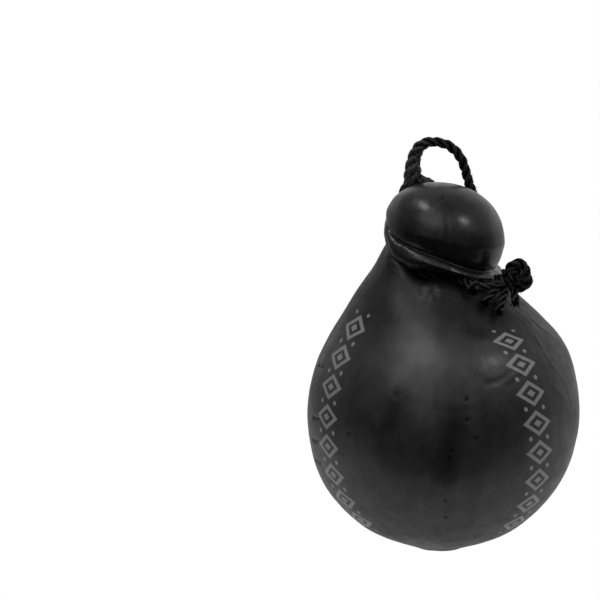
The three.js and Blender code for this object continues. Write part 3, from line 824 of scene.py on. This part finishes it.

# %% [markdown]
# ## Waxed rope
# The rope is natural fibre, laid from three strands that are each spun from yarns, and it went into the wax
# with the cheese. The wax lies thin on it. The grooves between strands are near black, a painted shade, and
# the yarns carry grey that is partly worn fibre and partly a painted highlight, with glints along them. The
# material reads how far round and along its strand each point is, to draw the fibres, and how far out from
# the middle of the rope, to paint the shade into the grooves.

# %% Make the waxed fibre
# The black is the rope's own and also the painted shade in the grooves. The grey on the crowns is partly worn
# fibre and partly painted highlight
FIBRE_BLACK_AND_PAINTED_SHADE = "#030303"
FIBRE_GREY_AND_PAINTED_HIGHLIGHT = "#242424"
FELT_GREY = "#272727"
FIBRES_ROUND = 16
FIBRE_TWIST_MM = 14
CLOT_MM = 3.2
CLOTS_IN_FUZZ = 2.0  # how much more they count than the fibres
PAINTED_GROOVE_SHADE_ENDS = (0.72, 0.98)  # shares of the rope's radius where the groove ends, and where glints are full
FELT_SHEEN = 0.45
FIBRE_SHEEN = (0.02, 1.0)  # in the grooves and at the brightest glint
FIBRE_ROUGHNESS = (0.24, 0.5)
FIBRE_DEPTH = 0.12 * MM

fibre = bpy.data.materials.new("waxed_hemp_rope")
fibre.use_nodes = True
tree = fibre.node_tree
shader = tree.nodes["Principled BSDF"]
shader.inputs["IOR"].default_value = WAX_IOR
place = add(tree, "ShaderNodeTexCoord").outputs["Object"]
strand = add(tree, "ShaderNodeSeparateXYZ", {
    0: add(tree, "ShaderNodeAttribute", attribute_name="strand_place").outputs["Vector"],
})
clots = add(tree, "ShaderNodeTexNoise", {"Vector": place, "Scale": 1 / (CLOT_MM * MM), "Detail": 4.0})
twist = add(tree, "ShaderNodeMath", {0: strand.outputs["Y"], 1: FIBRE_TWIST_MM * MM}, operation="DIVIDE")
turn = add(tree, "ShaderNodeMath", {0: strand.outputs["X"], 1: twist}, operation="ADD")
lines = add(tree, "ShaderNodeMath", {0: turn, 1: FIBRES_ROUND * math.tau}, operation="MULTIPLY")
ridge = add(tree, "ShaderNodeMath", {0: lines}, operation="SINE")
fuzz = add(tree, "ShaderNodeMath", {0: clots, 1: CLOTS_IN_FUZZ, 2: ridge}, operation="MULTIPLY_ADD")
grey = add(tree, "ShaderNodeMapRange", {"Value": fuzz, "From": (0.4, 2.2)})
felted = add(tree, "ShaderNodeAttribute", attribute_name="felted").outputs["Fac"]
# Nought in the grooves between strands: there the colour and the sheen get a painted shade, and the crowns a
# grey that is partly painted highlight
crown = add(tree, "ShaderNodeMapRange", {"Value": strand.outputs["Z"], "From": PAINTED_GROOVE_SHADE_ENDS})
glint_and_painted_light = add(tree, "ShaderNodeMath", {0: grey, 1: crown}, operation="MULTIPLY")
waxed_over = add(tree, "ShaderNodeMath", {0: felted, 1: FELT_SHEEN}, operation="MULTIPLY")
lit = add(tree, "ShaderNodeMath", {0: glint_and_painted_light, 1: waxed_over}, operation="ADD")
sheen = add(tree, "ShaderNodeMapRange", {"Value": lit, "To": FIBRE_SHEEN})
tree.links.new(sheen.outputs[0], shader.inputs["Specular IOR Level"])
# Painted shade in the grooves and painted highlight on the crowns, over the rope's black and its worn grey
# fibres
fibre_colour_with_painted_light = add(tree, "ShaderNodeMix", {
    "Factor": glint_and_painted_light, "A": linear(FIBRE_BLACK_AND_PAINTED_SHADE), "B": linear(FIBRE_GREY_AND_PAINTED_HIGHLIGHT),
}, data_type="RGBA")
felt_share = add(tree, "ShaderNodeMath", {0: felted, 1: clots}, operation="MULTIPLY")
colour = add(tree, "ShaderNodeMix", {
    "Factor": felt_share, "A": fibre_colour_with_painted_light.outputs["Result"], "B": linear(FELT_GREY),
}, data_type="RGBA")
tree.links.new(colour.outputs["Result"], shader.inputs["Base Color"])
roughness = add(tree, "ShaderNodeMapRange", {"Value": clots, "From": (0.35, 0.65), "To": FIBRE_ROUGHNESS})
tree.links.new(roughness.outputs[0], shader.inputs["Roughness"])
fibres = add(tree, "ShaderNodeBump", {"Height": fuzz, "Strength": 0.5, "Distance": FIBRE_DEPTH})
tree.links.new(fibres.outputs["Normal"], shader.inputs["Normal"])
print(fibre.name, "has", len(tree.nodes), "nodes")

# %% [markdown]
# ## The tree that lays a rope
# A laid rope follows a path, so it is a job for Geometry Nodes. The path is copied three times, and each copy
# is moved off the path by a direction that turns with the length, which makes three winding strands. A lobed
# circle, swept along them with a twist the other way, gives the yarns. Cut ends open into a brush of yarns,
# and stray fibres stand out all over.

# %% Wind three strands round the path
STRANDS = 3
STRAND_OFFSET = 0.535  # of the rope's radius, so that the three strands touch
STRAND_RADIUS = 0.45  # of the rope's radius too
YARNS = 5
YARN_DEPTH = 0.12  # of the strand's radius
FELTING = 0.3  # how far wax has closed the grooves between the strands where the rope is doubled
FELT_STARTS = (1.0, 1.4)  # how thick the rope is where they begin to close, and where they are closed
SIDES = 15

rope_tree = new_tree("laid_rope", [
    ("Route", "Object", None), ("Rope Radius", "Float", 2.7 * MM), ("Lay Length", "Float", 18 * MM),
    ("Yarn Lay", "Float", 15 * MM), ("Step", "Float", 0.75 * MM), ("Fibres", "Float", 30000.0),
    ("Yarns At End", "Int", 0), ("Seed", "Int", 1), ("Material", "Material", None),
])
tree = rope_tree
given = add(tree, "NodeGroupInput").outputs
path = add(tree, "GeometryNodeCurveSplineType", {
    "Curve": add(tree, "GeometryNodeObjectInfo", {"Object": given["Route"]}).outputs["Geometry"],
}, spline_type="CATMULL_ROM")
even = add(tree, "GeometryNodeResampleCurve", {"Curve": path, "Length": given["Step"]}, mode="LENGTH")
path = add(tree, "GeometryNodeSetCurveNormal", {"Curve": even}, mode="MINIMUM_TWIST")
length = add(tree, "GeometryNodeSplineParameter").outputs["Length"]
thickness = add(tree, "GeometryNodeInputRadius")
middle = add(tree, "GeometryNodeStoreNamedAttribute", {
    "Geometry": path, "Name": "middle", "Value": add(tree, "GeometryNodeInputPosition"),
}, data_type="FLOAT_VECTOR")
middle = add(tree, "GeometryNodeStoreNamedAttribute", {
    "Geometry": middle, "Name": "thickness", "Value": thickness,
})
strands = add(tree, "GeometryNodeDuplicateElements", {"Geometry": middle, "Amount": STRANDS}, domain="SPLINE")
turns = add(tree, "ShaderNodeMath", {0: length, 1: given["Lay Length"]}, operation="DIVIDE")
third = add(tree, "ShaderNodeMath", {0: strands.outputs["Duplicate Index"], 1: STRANDS}, operation="DIVIDE")
phase = add(tree, "ShaderNodeMath", {0: turns, 1: third}, operation="ADD")
angle = add(tree, "ShaderNodeMath", {0: phase, 1: math.tau}, operation="MULTIPLY")
outward = add(tree, "ShaderNodeVectorRotate", {
    "Vector": add(tree, "GeometryNodeInputNormal"),
    "Axis": add(tree, "GeometryNodeInputTangent"),
    "Angle": angle,
})
reach = add(tree, "ShaderNodeMath", {0: given["Rope Radius"], 1: STRAND_OFFSET}, operation="MULTIPLY")
felt = add(tree, "ShaderNodeMapRange", {"Value": thickness, "From": FELT_STARTS})
drawn_in = add(tree, "ShaderNodeMapRange", {"Value": felt, "To": (1.0, 1 - FELTING)})
felt_thickness = add(tree, "ShaderNodeMath", {0: thickness, 1: drawn_in}, operation="MULTIPLY")
here_reach = add(tree, "ShaderNodeMath", {0: reach, 1: felt_thickness}, operation="MULTIPLY")
offset = add(tree, "ShaderNodeVectorMath", {0: outward, "Scale": here_reach}, operation="SCALE")
wound = add(tree, "GeometryNodeSetPosition", {"Geometry": strands, "Offset": offset})
print("three strands at", STRAND_OFFSET, "of the radius")

# %% Sweep the yarns along the strands
yarn_turns = add(tree, "ShaderNodeMath", {0: length, 1: given["Yarn Lay"]}, operation="DIVIDE")
tilt = add(tree, "ShaderNodeMath", {0: yarn_turns, 1: -math.tau}, operation="MULTIPLY")
twisted = add(tree, "GeometryNodeSetCurveTilt", {"Curve": wound, "Tilt": tilt})
section_radius = add(tree, "ShaderNodeMath", {
    0: given["Rope Radius"], 1: STRAND_RADIUS,
}, operation="MULTIPLY")
circle = add(tree, "GeometryNodeCurvePrimitiveCircle", {"Resolution": SIDES, "Radius": section_radius})
round_share = add(tree, "GeometryNodeSplineParameter").outputs["Factor"]
lobe_angle = add(tree, "ShaderNodeMath", {0: round_share, 1: YARNS * math.tau}, operation="MULTIPLY")
wave = add(tree, "ShaderNodeMath", {0: lobe_angle}, operation="COSINE")
lobe = add(tree, "ShaderNodeMath", {0: wave, 1: YARN_DEPTH, 2: 1.0}, operation="MULTIPLY_ADD")
lobed_place = add(tree, "ShaderNodeVectorMath", {
    0: add(tree, "GeometryNodeInputPosition"), "Scale": lobe,
}, operation="SCALE")
section = add(tree, "GeometryNodeSetPosition", {"Geometry": circle, "Position": lobed_place})
section = add(tree, "GeometryNodeStoreNamedAttribute", {
    "Geometry": section, "Name": "round", "Value": round_share,
})
twisted = add(tree, "GeometryNodeStoreNamedAttribute", {
    "Geometry": twisted, "Name": "along", "Value": length,
})
swollen = add(tree, "ShaderNodeMapRange", {"Value": felt, "To": (1.0, 1 + FELTING)})
section_scale = add(tree, "ShaderNodeMath", {0: thickness, 1: swollen}, operation="MULTIPLY")
laid = add(tree, "GeometryNodeCurveToMesh", {
    "Curve": twisted, "Profile Curve": section, "Scale": section_scale, "Fill Caps": True,
})
kinds = {"round": "FLOAT", "along": "FLOAT", "middle": "FLOAT_VECTOR", "thickness": "FLOAT"}
stored = {}
for name, kind in kinds.items():
    stored[name] = add(tree, "GeometryNodeInputNamedAttribute", {"Name": name}, data_type=kind)
from_middle = add(tree, "ShaderNodeVectorMath", {
    0: add(tree, "GeometryNodeInputPosition"), 1: stored["middle"],
}, operation="DISTANCE").outputs["Value"]
full_radius = add(tree, "ShaderNodeMath", {
    0: stored["thickness"], 1: given["Rope Radius"],
}, operation="MULTIPLY")
out_share = add(tree, "ShaderNodeMath", {0: from_middle, 1: full_radius}, operation="DIVIDE")
laid = add(tree, "GeometryNodeStoreNamedAttribute", {
    "Geometry": laid, "Name": "strand_place",
    "Value": add(tree, "ShaderNodeCombineXYZ", {"X": stored["round"], "Y": stored["along"], "Z": out_share}),
}, data_type="FLOAT_VECTOR")
felt_share = add(tree, "ShaderNodeMapRange", {"Value": stored["thickness"], "From": FELT_STARTS})
laid = add(tree, "GeometryNodeStoreNamedAttribute", {"Geometry": laid, "Name": "felted", "Value": felt_share})
print(YARNS, "yarns in each strand")

# %% Add stray fibres and brushes of yarn at the cut ends
THREADS_MM = {
    # name: its start, bend and end, steps along it, sides, radius, the share of the radius at its tip
    "fibre": ((0, 0, -0.2), (0.2, 0, 1), (1.4, 0.5, 1.5), 4, 3, 0.06, 1.0),
    "yarn": ((0, 0, -1), (0, 0, 0.8), (0.4, 0.2, 2), 5, 6, 0.4, 0.6),
}
SIZES = (0.4, 1.3)  # the smallest and the largest thread, as shares of that
STRAY_LEAN = 0.5  # radians
CUT_RADIUS = 0.7  # of the rope's, where the yarns of a cut end stand
CUT_DEPTH = 0.1  # how far before and behind the cut they start, as a share of that
CUT_SPREAD = 0.5  # radians

threads = {}
for name, (start, bend, end, steps, sides, radius, tip) in THREADS_MM.items():
    line = add(tree, "GeometryNodeCurveQuadraticBezier", {
        "Start": Vector(start) * MM, "Middle": Vector(bend) * MM, "End": Vector(end) * MM,
        "Resolution": steps,
    })
    outline = add(tree, "GeometryNodeCurvePrimitiveCircle", {"Resolution": sides, "Radius": radius * MM})
    taper = add(tree, "ShaderNodeMapRange", {
        "Value": add(tree, "GeometryNodeSplineParameter"), "To": (1.0, tip),
    })
    threads[name] = add(tree, "GeometryNodeCurveToMesh", {
        "Curve": line, "Profile Curve": outline, "Scale": taper, "Fill Caps": True,
    })
roots = add(tree, "GeometryNodeDistributePointsOnFaces", {
    "Mesh": laid, "Density": given["Fibres"], "Seed": given["Seed"],
})
spin = add(tree, "FunctionNodeRandomValue", {
    "Min": (0, 0, 0), "Max": (STRAY_LEAN, STRAY_LEAN, math.tau), "Seed": given["Seed"],
}, data_type="FLOAT_VECTOR")
spun = add(tree, "FunctionNodeRotateRotation", {
    "Rotation": roots.outputs["Rotation"], "Rotate By": add(tree, "FunctionNodeEulerToRotation", {0: spin}),
}, rotation_space="LOCAL")
size = add(tree, "FunctionNodeRandomValue", {"Min": SIZES[0], "Max": SIZES[1], "Seed": given["Seed"]})
strays = add(tree, "GeometryNodeInstanceOnPoints", {
    "Points": roots, "Instance": threads["fibre"], "Rotation": spun, "Scale": size,
})
inside = add(tree, "ShaderNodeMath", {0: given["Rope Radius"], 1: CUT_RADIUS}, operation="MULTIPLY")
scatter = add(tree, "FunctionNodeRandomValue", {
    "Min": (-1, -1, -CUT_DEPTH), "Max": (1, 1, CUT_DEPTH), "Seed": given["Seed"],
}, data_type="FLOAT_VECTOR")
cut_place = add(tree, "ShaderNodeVectorMath", {0: scatter, "Scale": inside}, operation="SCALE")
cut_points = add(tree, "GeometryNodePoints", {"Count": given["Yarns At End"], "Position": cut_place})
lean_out = add(tree, "FunctionNodeRandomValue", {
    "Min": (-CUT_SPREAD, -CUT_SPREAD, 0), "Max": (CUT_SPREAD, CUT_SPREAD, math.tau), "Seed": given["Seed"],
}, data_type="FLOAT_VECTOR")
brush = add(tree, "GeometryNodeInstanceOnPoints", {
    "Points": cut_points, "Instance": threads["yarn"], "Scale": size,
    "Rotation": add(tree, "FunctionNodeEulerToRotation", {0: lean_out}),
})
cut_end = add(tree, "GeometryNodeCurveEndpointSelection", {"Start Size": 0, "End Size": 1})
outwards = add(tree, "FunctionNodeAlignRotationToVector", {"Vector": add(tree, "GeometryNodeInputTangent")})
brushes = add(tree, "GeometryNodeInstanceOnPoints", {
    "Points": path, "Selection": cut_end, "Instance": brush, "Rotation": outwards,
})
together = add(tree, "GeometryNodeJoinGeometry")
for part in (brushes, strays, laid):
    tree.links.new(part.outputs[0], together.inputs[0])
whole = add(tree, "GeometryNodeRealizeInstances", {"Geometry": together})
smooth = add(tree, "GeometryNodeSetShadeSmooth", {"Geometry": whole})
finished = add(tree, "GeometryNodeSetMaterial", {"Geometry": smooth, "Material": given["Material"]})
add(tree, "NodeGroupOutput", {0: finished})
print(rope_tree.name, "has", len(tree.nodes), "nodes")

# %% [markdown]
# ## Where the rope goes
# The rope goes round the neck, is twisted into a knot and a small bow at the side, and stands up behind the
# head as the loop to hang the cheese by. The loop's left leg is doubled and felted together by the wax, and
# parts into two feet. The routes repeat the ones of the solid rope, so each length lies where its solid is.

# %% Repeat the routes of the rope
GROOVE_HEIGHT = 164.3
NECK_TURN_RADIUS = 26.4
TURN_FROM_KNOT = [(34, -24.5, 157), (25, -33, 155.3), (16.5, -36.8, 156)]
TURN_TO_KNOT = [(37, -6, 155), (38, -14, 156.3), (36.5, -20, 157.5)]
TURN_DEGREES = range(-78, -351, -16)
KNOT = Vector((35.5, -22.5, 157.5))
KNOT_AXIS = Vector((0.8, 0.1, 0.6)).normalized()
COIL_RADIUS = 4.4
COIL_PITCH = 5.5
COIL_TURNS = 1.75
COIL_POINTS_PER_TURN = 8
FRONT_BIGHT = [
    (34.5, -24.5, 157), (36.2, -25.5, 163), (38.2, -26, 166.4), (41.6, -26, 167.6), (44.8, -25.8, 165.6),
    (45.6, -25.4, 161.6), (43.2, -25, 158.6), (39.5, -24.5, 157.4), (35.5, -23.5, 156),
]
BACK_BIGHT = [
    (34, -20, 157.5), (37.2, -19.5, 161.4), (41.5, -19, 162.8), (45.4, -19, 161.4), (47.1, -19.2, 157.8),
    (45.8, -19.5, 154.2), (42, -19.8, 153.1), (38.4, -20.4, 153.8), (35.5, -21, 155.5),
]
INNER_BIGHT = [
    (35.4, -25, 157.5), (38.7, -25.4, 162.3), (41.7, -25.6, 163.5), (42.8, -25.4, 160.9),
    (39.6, -24.8, 157.5),
]
TAILS = [
    [(33, -25, 156.5), (29.5, -31, 153.8), (26, -37, 150.8), (23.2, -42, 147.2)],
    [(35, -24, 155.5), (33.8, -31, 151), (32.2, -37.5, 146.8), (30.6, -43, 142.3)],
    [(37.5, -22, 155.5), (39.4, -25, 151.4), (39.9, -26.6, 148.6), (39.9, -28.2, 145.4)],
]
TUCKED_END = [(18, -36, 156), (16.8, -37.8, 155.4), (16, -39.8, 153.8)]
LOOP = [
    (-16.8, 31.2, 200.5), (-17.6, 27.8, 206), (-18.4, 25, 213), (-17.9, 24, 220), (-16, 23, 226.2),
    (-12.2, 22.5, 230.2), (-6.6, 22, 231.5), (0.8, 22, 230), (6, 23, 226.3), (9.8, 24, 220.8),
    (12.2, 25.5, 213.8), (14.4, 27.6, 206), (17, 31, 199), (17.8, 34.3, 191), (17.6, 35.2, 183),
    (16.6, 35, 175), (15.8, 34.6, 168.4), (14.6, 31.4, 164.4),
]
LEFT_FOOT = [
    (-18.5, 25.2, 214), (-20, 26, 209), (-22, 27, 205.4), (-24, 28, 200.5), (-25.2, 29.2, 193),
    (-25.2, 29.8, 187), (-25, 29.4, 181), (-24, 27.2, 176.5), (-22, 24.4, 174),
]
RIGHT_FOOT = [
    (-15.8, 24.8, 210.4), (-11, 25, 208.4), (-6.6, 28.8, 205.4), (-4, 34, 199.2), (-2.8, 36.6, 191),
    (-2.4, 37.4, 183), (-2.2, 37.5, 175.5), (-2, 37.2, 171.5), (-2, 34, 168),
]


def metres(route):
    """A route in millimetres as points in metres."""
    return [Vector(point) * MM for point in route]


neck_turn = list(TURN_FROM_KNOT)
for degrees in TURN_DEGREES:
    turn = math.radians(degrees)
    x, y = NECK_TURN_RADIUS * math.cos(turn), NECK_TURN_RADIUS * math.sin(turn)
    fall = TIE_SIDE_SLOPE * x - TIE_FRONT_SLOPE * y
    from_front = math.atan2(x, -y)
    sag = SAG_MM * step(from_front, *SAG_LEFT) * step(from_front, *SAG_RIGHT)
    sag *= step(GROOVE_HEIGHT * MM, *SAG_TOP)
    neck_turn.append((x + ring_shift(GROOVE_HEIGHT), y, GROOVE_HEIGHT - fall - sag))
neck_turn += TURN_TO_KNOT

coil_side = Vector((0, 0, 1)).cross(KNOT_AXIS).normalized()
coil_up = KNOT_AXIS.cross(coil_side)
coil = []
for i in range(int(COIL_TURNS * COIL_POINTS_PER_TURN) + 1):
    turn = i / COIL_POINTS_PER_TURN
    spoke = coil_side * math.cos(math.tau * turn) + coil_up * math.sin(math.tau * turn)
    coil.append(KNOT + KNOT_AXIS * COIL_PITCH * (turn - COIL_TURNS / 2) + spoke * COIL_RADIUS)
print("neck turn of", len(neck_turn), "points, coil of", len(coil))

# %% Lay the rope
ROPE_RADIUS = 2.9 * MM
THIN_RADIUS = 2.5 * MM
TIE_RADIUS = 2.3 * MM  # where it has sunk into the neck
FOOT_RADIUS = 2 * MM
TUCKED_RADIUS = 3.5 * MM
DOUBLED_LEG = [1.1, 1.75, 1.8, 1.45, 1.3, 1.15]  # how much thicker the left leg is, from its foot up
NEAR_KNOT = [1.08, 1.08, 1.08, 1.04]  # the same for the tie, from the knot
FELTED_FOOT = [1.45] * len(LEFT_FOOT)  # the same for both feet, all the way down
ROPES = {
    # piece: routes, radius, yarns that a cut end shows, how much thicker the first points are
    "neck_tie": ([neck_turn], TIE_RADIUS, 0, NEAR_KNOT),
    "knot": ([coil], THIN_RADIUS, 0, []),
    "bow": ([FRONT_BIGHT, INNER_BIGHT, BACK_BIGHT], ROPE_RADIUS, 0, []),
    "cut_ends": (TAILS, THIN_RADIUS, 24, []),
    "tucked_end": ([TUCKED_END], TUCKED_RADIUS, 40, []),
    "hanging_loop": ([LOOP], ROPE_RADIUS, 0, DOUBLED_LEG),
    "loop_feet": ([LEFT_FOOT, RIGHT_FOOT], FOOT_RADIUS, 0, FELTED_FOOT),
}
for number, (name, (routes, radius, cut_yarns, thicker)) in enumerate(ROPES.items()):
    thickness = [thicker + [1] * (len(route) - len(thicker)) for route in routes]
    guide = guide_curve(name + "_route", [metres(route) for route in routes], thickness)
    piece = plain_piece(name, rope_tree, {
        "Route": guide, "Rope Radius": radius, "Yarns At End": cut_yarns, "Seed": number + 1,
        "Material": fibre,
    })
    bpy.data.objects.remove(guide)
    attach(piece, "root")
    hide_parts("rope")
